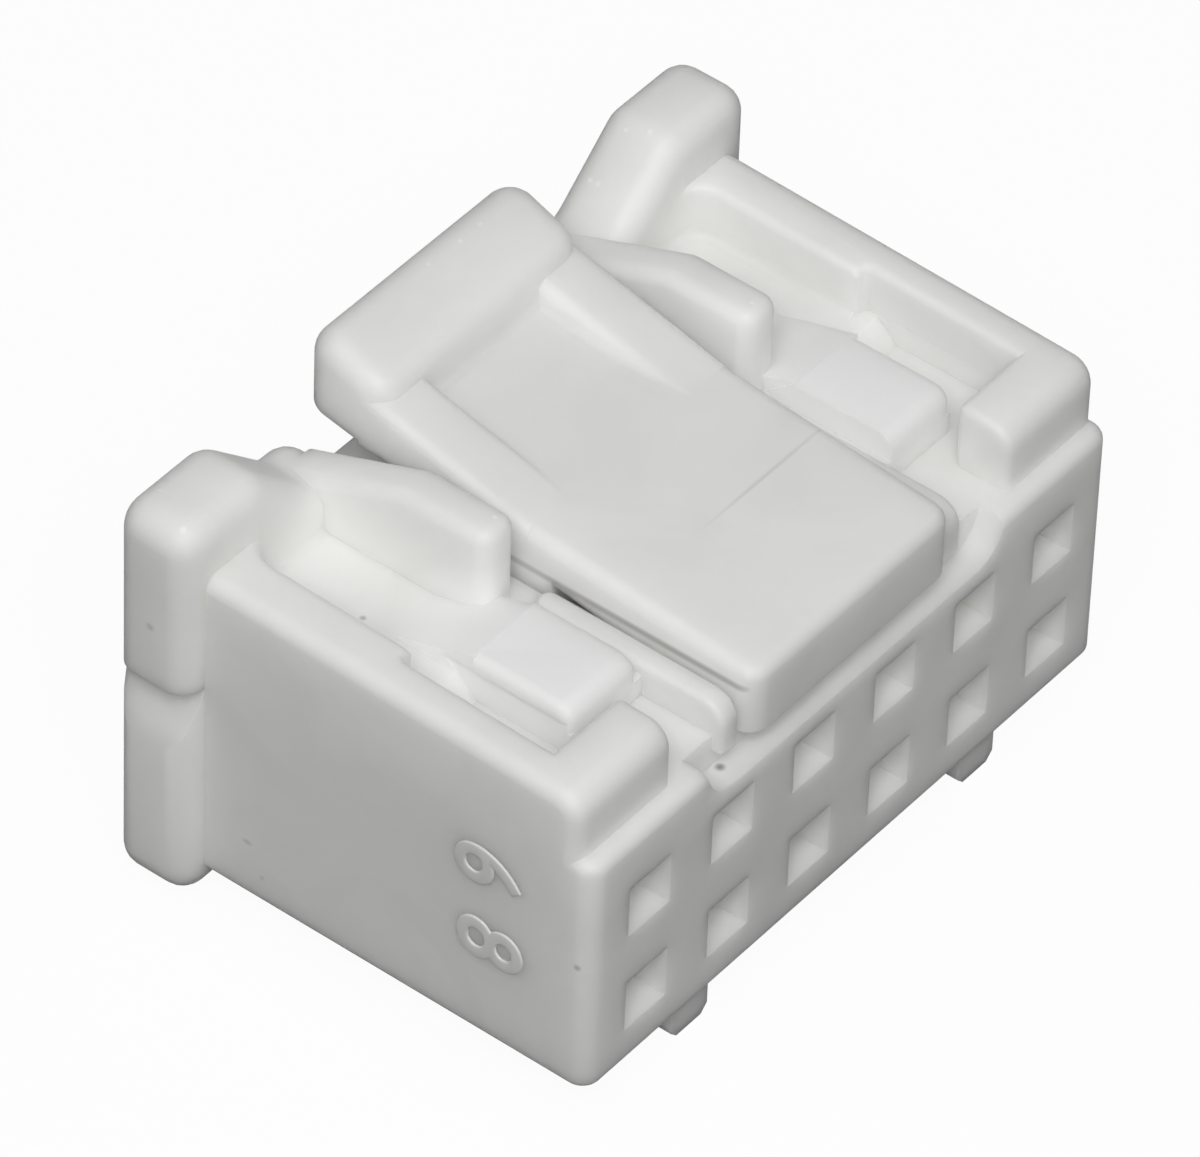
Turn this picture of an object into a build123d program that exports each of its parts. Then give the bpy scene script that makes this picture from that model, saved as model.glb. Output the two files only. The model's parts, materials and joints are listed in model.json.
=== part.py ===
from build123d import *
import os
from math import radians, tan

# Contact grid. Heights are taken from the underside; the finished part has its origin at the grid's middle
pitch = 2.0
row_pitch = 2.0
columns = 6
rows = 2
row_height = 1.2          # middle of the lower row above the underside
entry_size = 1.0          # square mouth in the mating face
throat_size = 0.64
funnel_depth = 0.8
throat_depth = 1.4        # mating face to the contact chamber
chamber_size = 1.5
chamber_mouth = 1.7       # flared end on the wire side
mouth_depth = 0.5

# Body
body_depth = 7.5          # mating face to the rear frame
end_margin = 1.4          # last contact to the outside of the end wall
roof = 1.5                # upper row to the front deck
corner_radius = 0.33      # upright corners of the mating face
face_edge_radius = 0.22   # top edge of the mating face
base_radius = 0.12
wall_top_rear = 6.1
wall_top_front = 5.88
crest_radius = 0.28       # outer top edge of the end walls
inner_edge_radius = 0.15
wall = 0.95
thin_wall = 0.7           # end wall beside the pads
wall_jog = 4.3
jog_radius = 0.12
channel_floor = 5.1
channel_corner_radius = 0.5
floor_radius = 0.18       # where floors meet walls
trough_floor = 4.4        # under the lever
trough_gap = 0.08

# Front deck
ledge_depth = 0.33
block_inner = 4.14
block_rear = 1.37
block_radius = 0.45
shelf_drop = 0.65
shelf_half = 3.0
shelf_curve = 0.65        # concave rise from the shelf to the deck
shelf_depth = 0.5

# Guard fins beside the lever
fin_gap = 0.34
fin = 0.8
fin_setback = 3.12        # fin's front edge before the rear frame
fin_top = 6.77
fin_level = 1.65
fin_drop = 0.92
fin_run = 2.3
fin_radius = 0.28
fin_edge_radius = 0.24

# Pads and rails in front of the side channels
pad_gap = 0.22            # between the rail and the pad
pad_outer = 4.7
pad_front = 1.85
pad_rear = 3.75
pad_top = 5.6
pad_ramp = 0.6
pad_radius = 0.3
pad_side_radius = 0.18
rail = 0.41
rail_top = 5.33
rail_front = 0.3
rail_rear = 4.0
rail_nose_radius = 0.45
rail_end_radius = 0.19
rail_edge_radius = 0.1

# Rear frame with its ears
frame_depth = 1.45
ear_reach = 0.45
ear_top = 7.13
ear_foot = 0.5
ear_foot_inner = 0.9
ear_flat = 1.85
root_top = 5.85           # fin root on the frame
valley_radius = 0.5
ear_radius = 0.5
ear_edge_radius = 0.42
notch_top = 3.85
notch_height = 1.2
notch_depth = 0.45

# Lock lever
lever_half = 2.46
lever_front = 0.1
lever_front_top = 5.74
lever_thickness = 0.85
lever_edge_radius = 0.25
nose_bottom = 4.5
nose_length = 1.1
nose_taper = 0.3
lever_corner_radius = 0.35
plate_slope = 5.0         # degrees
rim_setback = 3.0         # start of the rims before the rear frame
rim_slope = 14.0          # degrees
rim_inner = 1.35
rim_radius = 0.2
recess_radius = 0.2       # where the recess meets the rims and the pad
press_lead = 0.15         # press pad's front face before the rear frame
press_front_top = 7.15
press_rear_top = 7.75
press_underside = 6.05
press_tilt = 0.15         # rise of the underside over half its length
press_radius = 0.4
press_end_radius = 0.45
rear_inset = 0.05         # press pad's back inside the frame's back
root_setback = 3.5        # front of the lever's root before the rear frame
root_depth = 0.9
root_inner = 1.1
root_rise = 0.6           # how far the legs reach into the plate

# Underside keys
key_middle = 3.6
key_width = 0.9
key_height = 0.8
key_setback = 0.2
key_chamfer = 0.15

body_half = (columns - 1) * pitch / 2 + end_margin
deck = row_height + (rows - 1) * row_pitch + roof
rear_face = body_depth + frame_depth
fin_inner = lever_half + fin_gap
fin_outer = fin_inner + fin
fin_front = body_depth - fin_setback
ear_half = body_half + ear_reach
trough_half = lever_half + trough_gap
rail_outer = trough_half + rail
pad_inner = rail_outer + pad_gap
rim_start = body_depth - rim_setback
root_front = body_depth - root_setback
press_face = body_depth - press_lead
lever_rear = rear_face - rear_inset
beyond = 1.0              # how far cuts run past the part
above = ear_top + beyond
touch = 0.01              # how near counts as in place


def along_x(points, x0, x1):
    """A solid with the given (Y, Z) outline, from x0 to x1."""
    outline = make_face(Polyline(*points, close=True))
    return extrude(Plane.YZ.offset(x0) * outline, amount=x1 - x0)


def along_y(points, y0, y1):
    """A solid with the given (X, Z) outline, from y0 to y1."""
    outline = make_face(Polyline(*points, close=True))
    return extrude(Plane.XZ.offset(-y1) * outline, amount=y1 - y0)


def mirrored(points):
    """A half outline on the +X side, closed with its mirror image."""
    return points + [(-x, other) for x, other in reversed(points) if x > 0]


def well(points, floor):
    """What a core of the mould leaves open: a half (X, Y) outline, mirrored, from its floor upwards."""
    outline = make_face(Polyline(*mirrored(points), close=True))
    return extrude(Plane.XY.offset(floor) * outline, amount=above - floor)


def both_sides(solid):
    return [solid, mirror(solid, about=Plane.YZ)]


def edges_at(solid, direction, **place):
    """Edges along a direction whose middle lies at the given places; X is taken on both sides."""
    found = solid.edges().filter_by(direction)
    for axis, value in place.items():
        found = [edge for edge in found if abs(abs(getattr(edge.center(), axis)) - value) < touch]
    return found


def outer_shell():
    """Full block seen from the end: flat base, mating face, ledge and a top that falls to the front."""
    outline = [
        (0, 0), (body_depth, 0), (body_depth, wall_top_rear), (ledge_depth, wall_top_front),
        (ledge_depth, deck), (0, deck),
    ]
    block = along_x(outline, -body_half, body_half)
    block = fillet(edges_at(block, Axis.X, Y=ledge_depth, Z=wall_top_front), block_radius)
    crest = [
        edge for edge in block.edges()
        if abs(abs(edge.center().X) - body_half) < touch
        and edge.center().Z > wall_top_front - block_radius
        and ledge_depth + touch < edge.center().Y < body_depth - touch
    ]
    block = fillet(crest, crest_radius)
    corners = [edge for edge in edges_at(block, Axis.Z, X=body_half)
               if edge.center().Y < ledge_depth - touch]
    block = fillet(corners, corner_radius)
    face_top = [edge for edge in block.edges() if abs(edge.center().Z - deck) < touch
                and edge.center().Y < ledge_depth - touch]
    block = fillet(face_top, face_edge_radius)
    base = [edge for edge in block.edges()
            if edge.center().Z < touch and edge.center().Y < body_depth - touch]
    return fillet(base, base_radius)


def hollowed(block):
    """Side channels, the bay between the corner blocks, the trough under the lever and the shelf."""
    channel_half = body_half - wall
    pad_bay_half = body_half - thin_wall
    channel = well([
        (0, pad_front), (pad_bay_half, pad_front), (pad_bay_half, wall_jog), (channel_half, wall_jog),
        (channel_half, body_depth), (0, body_depth),
    ], channel_floor)
    channel = fillet(edges_at(channel, Axis.Z, X=pad_bay_half, Y=wall_jog), jog_radius)
    channel = fillet(edges_at(channel, Axis.Z, X=channel_half, Y=body_depth), channel_corner_radius)
    channel = fillet(edges_at(channel, Axis.Y, X=channel_half, Z=channel_floor), floor_radius)
    bay = well([
        (0, -beyond), (block_inner, -beyond), (block_inner, block_rear), (pad_bay_half, block_rear),
        (pad_bay_half, pad_front), (0, pad_front),
    ], deck)
    trough = well([(0, shelf_depth), (trough_half, shelf_depth), (trough_half, body_depth), (0, body_depth)],
                  trough_floor)
    block = block - channel - bay - trough
    for shelf in both_sides(shelf_core()):
        block -= shelf
    return softened(block)


def shelf_core():
    """Half of the lowered shelf in front of the trough, curving up to the deck at its end."""
    floor = deck - shelf_drop
    rise = shelf_half + shelf_curve
    outline = make_face([
        Polyline((0, above), (0, floor), (shelf_half, floor)),
        TangentArc((shelf_half, floor), (rise, deck), tangent=(1, 0)),
        Polyline((rise, deck), (rise, above), (0, above)),
    ])
    return extrude(Plane.XZ.offset(-shelf_depth) * outline, amount=shelf_depth + beyond)


def softened(block):
    """Rounds the inner edges of the wall tops and of the corner blocks."""
    fall = (wall_top_rear - wall_top_front) / (body_depth - ledge_depth)

    def on_top(corner):
        return abs(corner.Z - wall_top_front - (corner.Y - ledge_depth) * fall) < touch / 2

    inner_tops = [
        edge for edge in block.edges()
        if all(on_top(corner) for corner in edge.vertices())
        and abs(edge.center().X) < body_half - crest_radius - touch
        and ledge_depth + block_radius + touch < edge.center().Y < body_depth - touch
    ]
    block_sides = [
        edge for edge in block.edges()
        if abs(abs(edge.center().X) - block_inner) < touch and edge.center().Z > deck + touch
        and not any(edge.is_same(other) for other in inner_tops)
    ]
    return fillet(inner_tops + block_sides, inner_edge_radius)


def guard_fin():
    """Fin beside the lever on the +X side, level at the front and falling to the rear frame."""
    level_end = fin_front + fin_level
    fin_rear = level_end + fin_run
    low_top = fin_top - fin_drop
    solid = along_x([
        (fin_front, trough_floor), (fin_front, fin_top), (level_end, fin_top), (fin_rear, low_top),
        (fin_rear, trough_floor),
    ], fin_inner, fin_outer)
    solid = fillet(edges_at(solid, Axis.Z, Y=fin_front), fin_radius)
    rim = [
        edge for edge in solid.edges()
        if min(corner.Z for corner in edge.vertices()) > low_top - touch
        and edge.center().Y < fin_rear - touch
        and not (abs(edge.center().Y - level_end) < touch and abs(edge.center().Z - fin_top) < touch)
    ]
    return fillet(rim, fin_edge_radius)


def contact_pad():
    """Raised pad in front of the side channel, with a gentle ramp behind it."""
    pad_end = pad_rear + pad_ramp
    solid = along_x([
        (pad_front, deck), (pad_front, pad_top), (pad_rear, pad_top), (pad_end, channel_floor),
        (pad_end, deck),
    ], pad_inner, pad_outer)
    solid = fillet(edges_at(solid, Axis.X, Y=pad_front, Z=pad_top), pad_radius)
    side = [
        edge for edge in solid.edges()
        if abs(edge.center().X - pad_outer) < touch and edge.center().Y < pad_end - touch
        and edge.center().Z > (channel_floor + pad_top) / 2 - touch
    ]
    return fillet(side, pad_side_radius)


def side_rail():
    """Low rail along the lever's front half, rounded down to the deck at its front end."""
    solid = along_x([
        (rail_front, trough_floor), (rail_front, rail_top), (rail_rear, rail_top), (rail_rear, trough_floor),
    ], trough_half, rail_outer)
    solid = fillet(edges_at(solid, Axis.Z, Y=rail_rear), rail_end_radius)
    solid = fillet(edges_at(solid, Axis.X, Y=rail_front, Z=rail_top), rail_nose_radius)
    rim = [
        edge for edge in solid.edges()
        if edge.center().Z > rail_top - rail_nose_radius + touch and edge.center().Y > rail_front + touch
        and abs(edge.center().X - (trough_half + rail_outer) / 2) > touch
    ]
    rim += [edge for edge in solid.edges()
            if edge.center().Y > rail_rear - touch and edge.center().Z > rail_top - touch]
    return fillet(rim, rail_edge_radius)


def rear_bar():
    """Bar across the wire side, level with the trough under the lever."""
    outline = mirrored([(fin_outer, 0), (fin_outer, trough_floor)])
    return along_y(outline, body_depth, rear_face)


def ear():
    """Tall ear at the +X end of the wire side, sloping down to the root of the guard fin."""
    foot = body_half - ear_foot_inner
    outline = make_face(Polyline(
        (fin_inner, 0), (foot - ear_foot, 0), (foot, -ear_foot), (ear_half, -ear_foot), (ear_half, ear_top),
        (ear_half - ear_flat, ear_top), (fin_outer, root_top), (fin_inner, root_top), close=True))
    convex = [
        corner for corner in outline.vertices()
        if corner.Y > ear_top - touch or corner.X > ear_half - touch or corner.Y < -ear_foot + touch
        or (corner.Y > root_top - touch and corner.X < fin_inner + touch)
    ]
    outline = fillet(convex, ear_radius)
    valley = [corner for corner in outline.vertices()
              if abs(corner.Y - root_top) < touch and abs(corner.X - fin_outer) < touch]
    outline = fillet(valley, valley_radius)
    solid = extrude(Plane.XZ.offset(-rear_face) * outline, amount=frame_depth)
    rims = [
        edge for edge in solid.edges()
        if not (body_depth + touch < edge.center().Y < rear_face - touch) and abs(edge.center().Z) > touch
    ]
    return fillet(rims, ear_edge_radius)


def lever_plate():
    """The lever's sloping plate with its nose; its rear end runs into the press pad."""
    slope = tan(radians(plate_slope))
    rear = press_face + press_end_radius
    under = lever_front_top - lever_thickness
    solid = along_x([
        (lever_front, nose_bottom), (lever_front, lever_front_top),
        (rear, lever_front_top + (rear - lever_front) * slope), (rear, press_underside - press_tilt),
        (press_face, press_underside - press_tilt), (lever_front + nose_length + nose_taper, under),
        (lever_front + nose_length, nose_bottom),
    ], -lever_half, lever_half)
    solid = fillet(edges_at(solid, Axis.Z, Y=lever_front), lever_corner_radius)
    top = [edge for edge in solid.edges() if edge.center().Y < rear - touch
           and min(v.Z - (v.Y - lever_front) * slope for v in edge.vertices()) > lever_front_top - touch]
    return fillet(top, lever_edge_radius)


def lever_rim():
    """Wedge along the lever's +X side that rises from the plate to the press pad."""
    rear = press_face + press_end_radius
    start = lever_front_top + (rim_start - lever_front) * tan(radians(plate_slope))
    rise = tan(radians(rim_slope))
    solid = along_x([
        (rim_start, start - rim_radius), (rim_start, start), (rear, start + (rear - rim_start) * rise),
        (rear, start - rim_radius),
    ], rim_inner, lever_half)
    ridge = [
        edge for edge in solid.edges()
        if abs(edge.center().Z - start - (rear - rim_start) * rise / 2) < touch
        and abs(edge.center().Y - (rear + rim_start) / 2) < touch
    ]
    return fillet(ridge, rim_radius)


def press_pad():
    """Rounded pad at the lever's rear end, higher at its back."""
    solid = along_x([
        (press_face, press_underside - press_tilt), (press_face, press_front_top),
        (lever_rear, press_rear_top), (lever_rear, press_underside + press_tilt),
    ], -lever_half, lever_half)
    solid = fillet(edges_at(solid, Axis.Z, X=lever_half), press_end_radius)
    top = [edge for edge in solid.edges() if min(v.Z for v in edge.vertices()) > press_front_top - touch]
    return fillet(top, press_radius)


def lock_lever():
    """See-saw lever: plate with its nose, rims, press pad and the two legs of its root."""
    lever = lever_plate() + press_pad()
    under = lever_front_top - lever_thickness
    root = along_x([
        (root_front, trough_floor), (root_front, under + root_rise),
        (root_front + root_depth, under + root_rise),
        (root_front + root_depth, trough_floor),
    ], root_inner, lever_half)
    for half in (lever_rim(), root):
        for solid in both_sides(half):
            lever += solid
    slope = tan(radians(plate_slope))
    recess = [
        edge for edge in lever.edges()
        if abs(edge.center().Z - lever_front_top - (edge.center().Y - lever_front) * slope) < touch
        and (abs(abs(edge.center().X) - rim_inner) < touch
             or (abs(edge.center().Y - press_face) < touch and abs(edge.center().X) < touch))
    ]
    return fillet(recess, recess_radius)


def contact_cavity():
    """Square funnel in the mating face, throat, and the contact chamber behind it."""
    mouth = Plane.XZ * Rectangle(entry_size, entry_size)
    throat = Plane.XZ.offset(-funnel_depth) * Rectangle(throat_size, throat_size)
    chamber_end = Plane.XZ.offset(-(rear_face - mouth_depth)) * Rectangle(chamber_size, chamber_size)
    wide_end = Plane.XZ.offset(-rear_face) * Rectangle(chamber_mouth, chamber_mouth)
    passage = extrude(throat, amount=-(throat_depth - funnel_depth))
    chamber = extrude(chamber_end, amount=rear_face - mouth_depth - throat_depth)
    return loft([mouth, throat]) + passage + chamber + loft([chamber_end, wide_end])


def key_rib():
    """Key along the underside on the +X side."""
    inner = key_middle - key_width / 2
    outer = key_middle + key_width / 2
    outline = [
        (inner, base_radius), (inner, key_chamfer - key_height), (inner + key_chamfer, -key_height),
        (outer - key_chamfer, -key_height), (outer, key_chamfer - key_height), (outer, base_radius),
    ]
    return along_y(outline, key_setback, rear_face)


housing = hollowed(outer_shell())
housing += rear_bar()
for feature in (ear, guard_fin, contact_pad, side_rail, key_rib):
    for solid in both_sides(feature()):
        housing += solid
housing += lock_lever()

notch = along_y([
    (ear_half + beyond, notch_top), (ear_half - notch_depth, notch_top),
    (ear_half, notch_top - notch_height), (ear_half + beyond, notch_top - notch_height),
], body_depth - touch, rear_face + beyond)
for cut in both_sides(notch):
    housing -= cut

cavity = contact_cavity()
for column in range(columns):
    for row in range(rows):
        x = (column - (columns - 1) / 2) * pitch
        housing -= Pos(x, 0, row_height + row * row_pitch) * cavity

grid_middle = row_height + (rows - 1) * row_pitch / 2
housing = Pos(0, 0, -grid_middle) * housing

os.makedirs("parts", exist_ok=True)
export_step(housing, "parts/housing.step")
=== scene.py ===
import bpy
import json
from math import radians
from mathutils import Matrix, Vector

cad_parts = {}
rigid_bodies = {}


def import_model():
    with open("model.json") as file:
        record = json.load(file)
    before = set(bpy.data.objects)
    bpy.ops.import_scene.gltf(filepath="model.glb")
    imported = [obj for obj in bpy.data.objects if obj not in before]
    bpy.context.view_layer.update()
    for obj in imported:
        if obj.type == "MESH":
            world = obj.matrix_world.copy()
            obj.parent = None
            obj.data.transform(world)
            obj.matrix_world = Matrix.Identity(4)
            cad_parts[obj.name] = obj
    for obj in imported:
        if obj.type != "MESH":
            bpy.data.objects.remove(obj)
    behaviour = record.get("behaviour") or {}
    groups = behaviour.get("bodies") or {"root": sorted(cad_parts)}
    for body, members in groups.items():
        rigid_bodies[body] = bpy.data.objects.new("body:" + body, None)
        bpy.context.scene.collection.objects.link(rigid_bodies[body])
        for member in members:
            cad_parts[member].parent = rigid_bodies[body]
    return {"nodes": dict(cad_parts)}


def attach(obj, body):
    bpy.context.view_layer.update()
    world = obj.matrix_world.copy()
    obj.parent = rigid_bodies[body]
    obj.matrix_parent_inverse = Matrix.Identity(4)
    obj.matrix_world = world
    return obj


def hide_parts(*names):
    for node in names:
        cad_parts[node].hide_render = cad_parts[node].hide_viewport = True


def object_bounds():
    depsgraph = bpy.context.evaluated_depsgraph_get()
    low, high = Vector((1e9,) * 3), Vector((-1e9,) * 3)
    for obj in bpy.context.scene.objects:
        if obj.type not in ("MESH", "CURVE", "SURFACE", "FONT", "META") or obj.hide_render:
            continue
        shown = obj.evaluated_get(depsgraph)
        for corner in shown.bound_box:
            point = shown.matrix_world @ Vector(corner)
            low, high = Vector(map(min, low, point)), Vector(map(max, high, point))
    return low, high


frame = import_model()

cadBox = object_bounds()
housing = frame["nodes"]["housing"]
mm = 0.001


def toLinear(hexColour):
    channels = [int(hexColour[i:i + 2], 16) / 255 for i in (0, 2, 4)]
    return [c / 12.92 if c <= 0.04045 else ((c + 0.055) / 1.055) ** 2.4 for c in channels] + [1.0]


def addNode(tree, kind, values=None, links=None, **settings):
    node = tree.nodes.new(kind)
    for name, value in settings.items():
        setattr(node, name, value)
    for socket, value in (values or {}).items():
        node.inputs[socket].default_value = value
    for socket, source in (links or {}).items():
        tree.links.new(source, node.inputs[socket])
    return node


def newTree(name):
    material = bpy.data.materials.new(name)
    material.use_nodes = True
    material.node_tree.nodes.clear()
    return material, material.node_tree


# Natural nylon 66 from a spark-eroded mould: a pale satin with cloudy flow, fine grain
# and a glow in thin walls
nylonLook = {
    "base": "F0F0EE",              # a slightly grey white
    "worn": "E6E6E3",              # the greyer clouds in it
    "roughness": 0.55,
    "roughnessSpread": (-0.05, 0.1),
    "ior": 1.53,
    "subsurface": 0.9,             # light carries into thin walls
    "reliefSubsurface": 0.3,       # thin relief would lose the light that the wall behind it keeps
    "subsurfaceReach": 1.0 * mm,
    "flowSize": 2.2 * mm,
    "flowBand": (0.42, 0.72),      # where the noise turns from base to worn
    "flowShare": 0.55,             # of worn in the greyest cloud
    "flowHeight": 0.06 * mm,
    "flowStrength": 0.25,
    "grainSize": 0.10 * mm,        # the real 0.03 mm is too fine to show, so it is drawn coarser
    "grainHeight": 0.01 * mm,
    "grainStrength": 0.12,
    "markCore": 0.25,              # share of a mark's half size that has its full colour
}

# Colour of each kind of mark, then places and half sizes in mm; later kinds lie over earlier ones
nylonMarks = {
    "paintedFloorLight": ("FFFFFF", [           # painted light: brightens the floors beside the lever
        ((-4.1, 3.2, 3.2), (1.7, 2.5, 0.9)), ((4.1, 3.2, 3.2), (1.7, 2.5, 0.9)),
    ]),
    "paintedGapShade": ("B0AEAA", [           # painted shade in the gap between the lever and its rails
        ((-2.5, 2.1, 3.19), (0.13, 6.0, 0.10)), ((2.5, 2.1, 3.19), (0.13, 6.0, 0.10)),
    ]),
    "paintedCreaseShade": ("DCDBD8", [           # painted shade of a faint crease across the lever
        ((1.1, 2.6, 3.77), (1.9, 0.045, 0.35)),
    ]),
    "paintedGlint": ("FFFFFF", [          # painted highlights: small bright glints
        ((-6.562, 7.813, 4.861), (0.07, 0.07, 0.1)), ((-6.17, 8.593, 4.925), (0.04, 0.05, 0.06)),
        ((4.973, 8.061, 4.878), (0.06, 0.06, 0.06)), ((-3.084, 4.626, 4.57), (0.06, 0.06, 0.06)),
        ((3.172, 4.627, 4.57), (0.05, 0.05, 0.06)), ((4.149, 8.568, 4.149), (0.06, 0.06, 0.06)),
        ((1.19, 8.4, 5.353), (0.07, 0.05, 0.05)), ((0.693, 8.39, 5.35), (0.06, 0.05, 0.05)),
        ((-0.037, 8.426, 5.359), (0.05, 0.05, 0.05)), ((4.848, 8.433, 4.791), (0.05, 0.05, 0.05)),
        ((4.152, 8.411, 4.155), (0.05, 0.06, 0.06)), ((-4.091, 3.682, 3.4), (0.07, 0.07, 0.07)),
    ]),
    "greySpot": ("DAD8D5", [           # small light-grey spots
        ((-6.4, 6.644, -1.085), (0.07, 0.13, 0.07)), ((-6.4, 6.34, -1.665), (0.06, 0.06, 0.06)),
        ((-6.85, 8.208, 2.817), (0.1, 0.1, 0.1)),
    ]),
    "buriedSpeck": ("C2C0BC", [    # burnt specks of resin, seen through a thin skin
        ((-4.694, 5.834, 2.9), (0.07, 0.07, 0.07)), ((-6.391, 0.258, 0.365), (0.08, 0.08, 0.08)),
    ]),
    "speck": ("9C9A96", [          # a burnt speck at the surface
        ((-2.869, 0.378, 1.85), (0.11, 0.11, 0.11)),
    ]),
}


def nearMarks(tree, where, marks, core):
    found = None
    for place, size in marks:
        moved = addNode(tree, "ShaderNodeMapping",
                        {"Location": [-p / s for p, s in zip(place, size)],
                         "Scale": [1 / (s * mm) for s in size]}, {"Vector": where})
        away = addNode(tree, "ShaderNodeVectorMath", None, {0: moved.outputs["Vector"]},
                       operation="LENGTH")
        near = addNode(tree, "ShaderNodeMapRange",
                       {"From Min": core, "From Max": 1.0, "To Min": 1.0, "To Max": 0.0},
                       {"Value": away.outputs["Value"]}).outputs["Result"]
        if found:
            near = addNode(tree, "ShaderNodeMath", None, {0: found, 1: near},
                           operation="MAXIMUM").outputs[0]
        found = near
    return found


def makeNylon(name, look, kinds, subsurface):
    material, tree = newTree(name)
    where = addNode(tree, "ShaderNodeTexCoord").outputs["Object"]
    flow = addNode(tree, "ShaderNodeTexNoise",
                   {"Scale": 1 / look["flowSize"], "Detail": 3.0, "Roughness": 0.55, "Distortion": 0.6},
                   {"Vector": where})
    grain = addNode(tree, "ShaderNodeTexNoise", {"Scale": 1 / look["grainSize"], "Detail": 2.0},
                    {"Vector": where})
    low, high = look["flowBand"]
    cloud = addNode(tree, "ShaderNodeMapRange",
                    {"From Min": low, "From Max": high, "To Max": look["flowShare"]},
                    {"Value": flow.outputs["Fac"]})
    paint = addNode(tree, "ShaderNodeMix", {"A": toLinear(look["base"]), "B": toLinear(look["worn"])},
                    {"Factor": cloud.outputs["Result"]}, data_type="RGBA")
    for colour, marks in kinds.values():
        near = nearMarks(tree, where, marks, look["markCore"])
        paint = addNode(tree, "ShaderNodeMix", {"B": toLinear(colour)},
                        {"Factor": near, "A": paint.outputs["Result"]}, data_type="RGBA")
    smoother, duller = look["roughnessSpread"]
    dull = addNode(tree, "ShaderNodeMapRange",
                   {"To Min": look["roughness"] + smoother, "To Max": look["roughness"] + duller},
                   {"Value": grain.outputs["Fac"]})
    fine = addNode(tree, "ShaderNodeBump",
                   {"Strength": look["grainStrength"], "Distance": look["grainHeight"]},
                   {"Height": grain.outputs["Fac"]})
    swell = addNode(tree, "ShaderNodeBump",
                    {"Strength": look["flowStrength"], "Distance": look["flowHeight"]},
                    {"Height": flow.outputs["Fac"], "Normal": fine.outputs["Normal"]})
    shader = addNode(tree, "ShaderNodeBsdfPrincipled",
                     {"IOR": look["ior"], "Subsurface Weight": subsurface,
                      "Subsurface Radius": (1.0, 1.0, 1.0), "Subsurface Scale": look["subsurfaceReach"]},
                     {"Base Color": paint.outputs["Result"], "Roughness": dull.outputs["Result"],
                      "Normal": swell.outputs["Normal"]})
    addNode(tree, "ShaderNodeOutputMaterial", None, {"Surface": shader.outputs["BSDF"]})
    return material


nylon = makeNylon("nylon66MouldedSatin", nylonLook, nylonMarks, nylonLook["subsurface"])
thinNylon = makeNylon("nylon66ThinRelief", nylonLook, nylonMarks, nylonLook["reliefSubsurface"])

# The moulded body again, with a groove cut beside each pad and a gentle rise added behind it.
# Each runs between two distances from the middle plane, and its line is Y and Z of four corners, in mm
body = {
    "weld": 0.0002 * mm,
    "smoothBelow": 30,    # degrees
    "grooves": {"x": (4.66, 5.695), "line": [(1.8, 2.505), (1.8, 3.1), (4.25, 3.1), (3.65, 2.505)]},
    "rises": {"x": (3.2, 4.7), "line": [(3.7, 2.6), (3.7, 3.4), (5.3, 2.9), (5.3, 2.6)]},
}


def makePrism(name, outline, x0, x1):
    bpy.ops.object.select_all(action="DESELECT")
    bpy.ops.mesh.primitive_cube_add(size=1)
    prism = bpy.context.object
    prism.name = name
    frontLow, frontHigh, rearHigh, rearLow = outline
    for corner in prism.data.vertices:
        low, high = (rearLow, rearHigh) if corner.co.y > 0 else (frontLow, frontHigh)
        y, z = high if corner.co.z > 0 else low
        corner.co = ((x1 if corner.co.x > 0 else x0) * mm, y * mm, z * mm)
    return prism


def useTool(piece, tool, operation):
    bpy.ops.object.select_all(action="DESELECT")
    bpy.context.view_layer.objects.active = piece
    piece.select_set(True)
    change = piece.modifiers.new(tool.name, "BOOLEAN")
    change.operation = operation
    change.solver = "EXACT"
    change.object = tool
    bpy.ops.object.modifier_apply(modifier=change.name)
    bpy.data.objects.remove(tool)


def makeBody(settings):
    bpy.ops.object.select_all(action="DESELECT")
    piece = bpy.data.objects.new("mouldedBody", housing.data.copy())
    bpy.context.scene.collection.objects.link(piece)
    bpy.context.view_layer.objects.active = piece
    piece.select_set(True)
    bpy.ops.mesh.customdata_custom_splitnormals_clear()
    bpy.ops.object.mode_set(mode="EDIT")
    bpy.ops.mesh.select_all(action="SELECT")
    bpy.ops.mesh.remove_doubles(threshold=settings["weld"])
    bpy.ops.object.mode_set(mode="OBJECT")
    for side in (-1, 1):
        for name, form, operation in (("rise", "rises", "UNION"), ("groove", "grooves", "DIFFERENCE")):
            x0, x1 = sorted(side * x for x in settings[form]["x"])
            useTool(piece, makePrism(name, settings[form]["line"], x0, x1), operation)
    bpy.ops.object.shade_smooth_by_angle(angle=radians(settings["smoothBelow"]))
    even = piece.modifiers.new("evenFaces", "WEIGHTED_NORMAL")
    even.keep_sharp = True
    piece.data.materials.clear()
    piece.data.materials.append(nylon)
    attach(piece, "root")
    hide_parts("housing")
    return piece


mouldedBody = makeBody(body)
print("moulded body: made,", len(mouldedBody.data.polygons), "faces")

# Plain cavity numbers, raised on the end wall and lying on their side
numerals = {
    "height": 1.25 * mm,
    "fontShare": 0.72,             # height of a figure in the font's own size
    "relief": 0.035 * mm,
    "sunk": 0.045 * mm,            # how far each goes into the wall
    "roundness": 0.03 * mm,
    "roundSteps": 3,
    "curveSteps": 8,
    "weld": 0.001 * mm,
    "smoothBelow": 40,             # degrees
    "wallX": -6.4 * mm,
    "places": {"6": (2.06 * mm, 1.34 * mm), "8": (1.98 * mm, -0.20 * mm)},    # middle, as Y and Z
}


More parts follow.
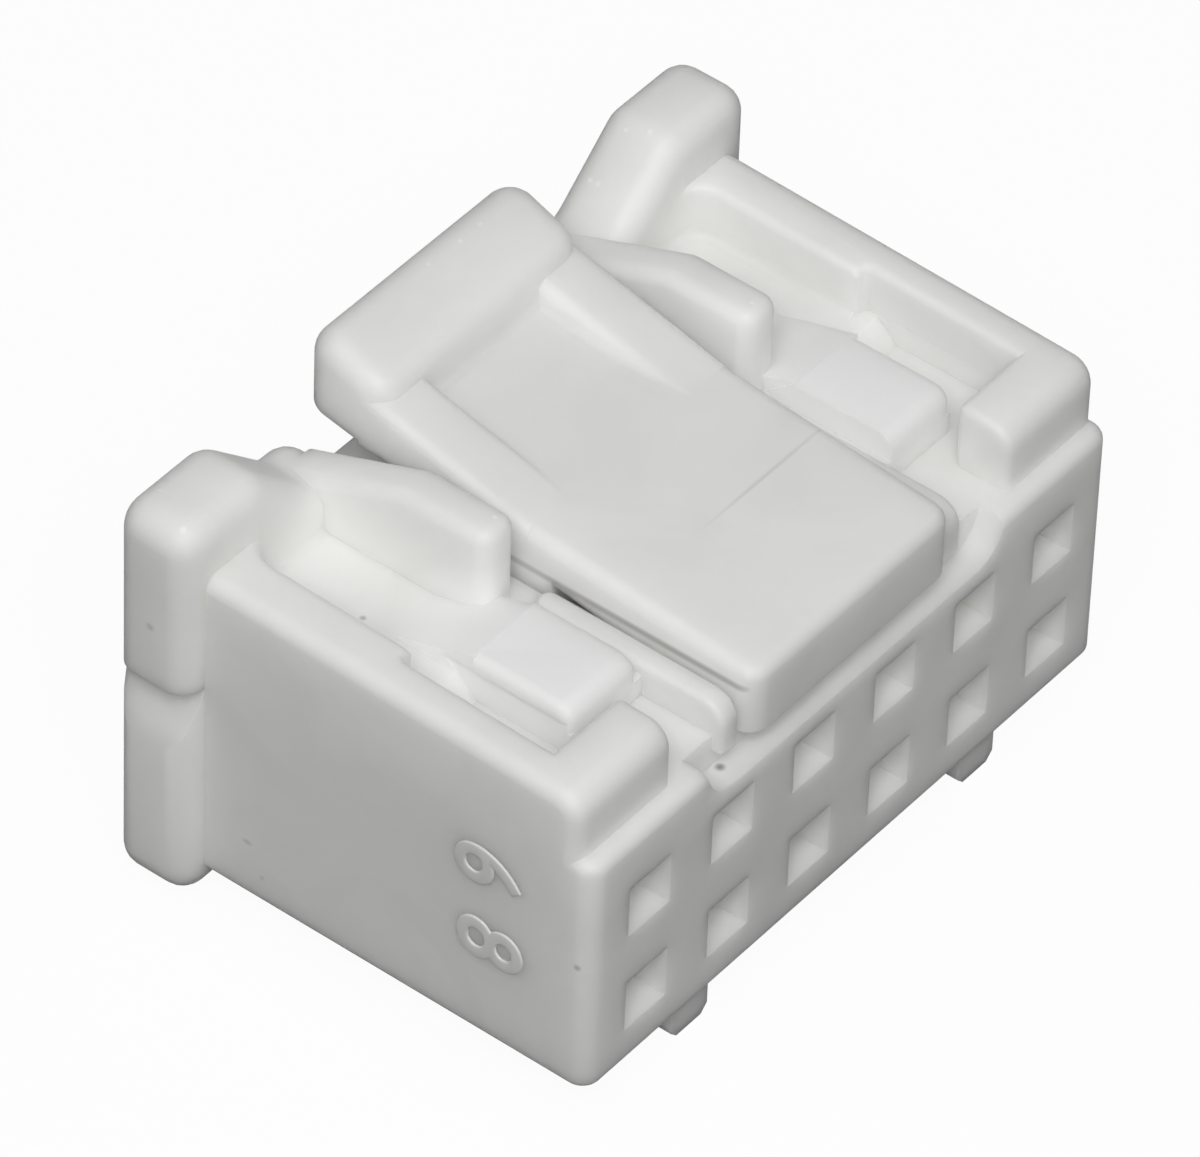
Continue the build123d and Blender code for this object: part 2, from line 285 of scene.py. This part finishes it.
def makeNumeral(digit, place, settings):
    bpy.ops.object.select_all(action="DESELECT")
    bpy.ops.object.text_add()
    text = bpy.context.object
    text.data.body = digit
    text.data.size = settings["height"] / settings["fontShare"]
    text.data.align_x = "CENTER"
    text.data.align_y = "CENTER"
    text.data.extrude = (settings["relief"] + settings["sunk"]) / 2 - settings["roundness"]
    text.data.bevel_depth = settings["roundness"]
    text.data.bevel_resolution = settings["roundSteps"]
    text.data.resolution_u = settings["curveSteps"]
    bpy.ops.object.convert(target="MESH")
    piece = bpy.context.object
    piece.name = "numeral" + digit
    bpy.ops.object.mode_set(mode="EDIT")
    bpy.ops.mesh.select_all(action="SELECT")
    bpy.ops.mesh.remove_doubles(threshold=settings["weld"])
    bpy.ops.mesh.normals_make_consistent(inside=False)
    bpy.ops.object.mode_set(mode="OBJECT")
    x = settings["wallX"] - (settings["relief"] - settings["sunk"]) / 2
    y, z = place
    facing = Matrix(((0, 0, -1), (0, -1, 0), (-1, 0, 0))).to_4x4()    # outwards, tops to the mating face
    piece.matrix_world = Matrix.Translation((x, y, z)) @ facing
    bpy.ops.object.transform_apply(location=True, rotation=True, scale=True)
    bpy.ops.object.shade_smooth_by_angle(angle=radians(settings["smoothBelow"]))
    piece.data.materials.clear()
    piece.data.materials.append(thinNylon)
    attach(piece, "root")


for digit, place in numerals["places"].items():
    makeNumeral(digit, place, numerals)
print("numerals: made")

setting = {
    "floorZ": cadBox[0].z,
    "floorSize": 1200 * mm,
    "floorColour": "F4F4F4",
    "bounceColour": "505050",      # what the object sees of the floor
    "ownWhite": 0.95,              # share of plain white that the camera sees in the floor
    "white": (1.0, 1.0, 1.0, 1.0),
    "skyLevel": 0.23,              # what lights the object; the camera sees a sky of 1
}


def seenDirectly(tree):
    path = addNode(tree, "ShaderNodeLightPath")
    either = addNode(tree, "ShaderNodeMath", None,
                     {0: path.outputs["Is Camera Ray"], 1: path.outputs["Is Glossy Ray"]},
                     operation="MAXIMUM")
    return addNode(tree, "ShaderNodeMath", None,
                   {0: either.outputs[0], 1: path.outputs["Is Transmission Ray"]},
                   operation="MAXIMUM").outputs[0]


def makeFloor(settings):
    bpy.ops.object.select_all(action="DESELECT")
    bpy.ops.mesh.primitive_plane_add(size=settings["floorSize"], location=(0, 0, settings["floorZ"]))
    floor = bpy.context.object
    floor.name = "floor"
    material, tree = newTree("paleFloor")
    bounce = addNode(tree, "ShaderNodeBsdfDiffuse", {"Color": toLinear(settings["bounceColour"])})
    paper = addNode(tree, "ShaderNodeBsdfDiffuse", {"Color": toLinear(settings["floorColour"])})
    white = addNode(tree, "ShaderNodeEmission", {"Color": settings["white"], "Strength": 1.0})
    seen = addNode(tree, "ShaderNodeMixShader", {0: settings["ownWhite"]},
                   {1: paper.outputs[0], 2: white.outputs[0]})
    both = addNode(tree, "ShaderNodeMixShader", None,
                   {0: seenDirectly(tree), 1: bounce.outputs[0], 2: seen.outputs[0]})
    addNode(tree, "ShaderNodeOutputMaterial", None, {"Surface": both.outputs[0]})
    floor.data.materials.append(material)


def makeSky(settings):
    world = bpy.data.worlds.new("paleRoom")
    world.use_nodes = True
    tree = world.node_tree
    tree.nodes.clear()
    soft = addNode(tree, "ShaderNodeBackground",
                   {"Color": settings["white"], "Strength": settings["skyLevel"]})
    white = addNode(tree, "ShaderNodeBackground", {"Color": settings["white"], "Strength": 1.0})
    both = addNode(tree, "ShaderNodeMixShader", None,
                   {0: seenDirectly(tree), 1: soft.outputs[0], 2: white.outputs[0]})
    addNode(tree, "ShaderNodeOutputWorld", None, {"Surface": both.outputs[0]})
    bpy.context.scene.world = world


makeFloor(setting)
makeSky(setting)
print("floor and background: made")

keyLamp = {
    "place": (-128 * mm, -91 * mm, 194 * mm),
    "size": 120 * mm,
    "power": 0.41,    # watts
}


def makeLamp(name, settings):
    bpy.ops.object.light_add(type="AREA", location=settings["place"])
    lamp = bpy.context.object
    lamp.name = name
    lamp.data.shape = "DISK"
    lamp.data.size = settings["size"]
    lamp.data.energy = settings["power"]
    lamp.rotation_euler = Vector(settings["place"]).to_track_quat("Z", "Y").to_euler()    # faces the part


makeLamp("key", keyLamp)
print("lamp: made")

photoCamera = {
    "eye": (-105.687 * mm, -74.864 * mm, 126.959 * mm),
    "turn": (46.3814, -1.6188, -51.4024),    # degrees
    "lens": 356.83,                          # long, as the photo was taken from far off
    "sensor": 36.0,
    "nearest": 5 * mm,
    "farthest": 20000 * mm,
}


def makeCamera(name, settings):
    data = bpy.data.cameras.new(name)
    data.lens = settings["lens"]
    data.sensor_width = settings["sensor"]
    data.clip_start = settings["nearest"]
    data.clip_end = settings["farthest"]
    camera = bpy.data.objects.new(name, data)
    bpy.context.scene.collection.objects.link(camera)
    camera.location = settings["eye"]
    camera.rotation_euler = [radians(angle) for angle in settings["turn"]]
    bpy.context.scene.camera = camera


makeCamera("photoCamera", photoCamera)
bpy.context.scene.view_settings.view_transform = "Standard"
print("camera: made")
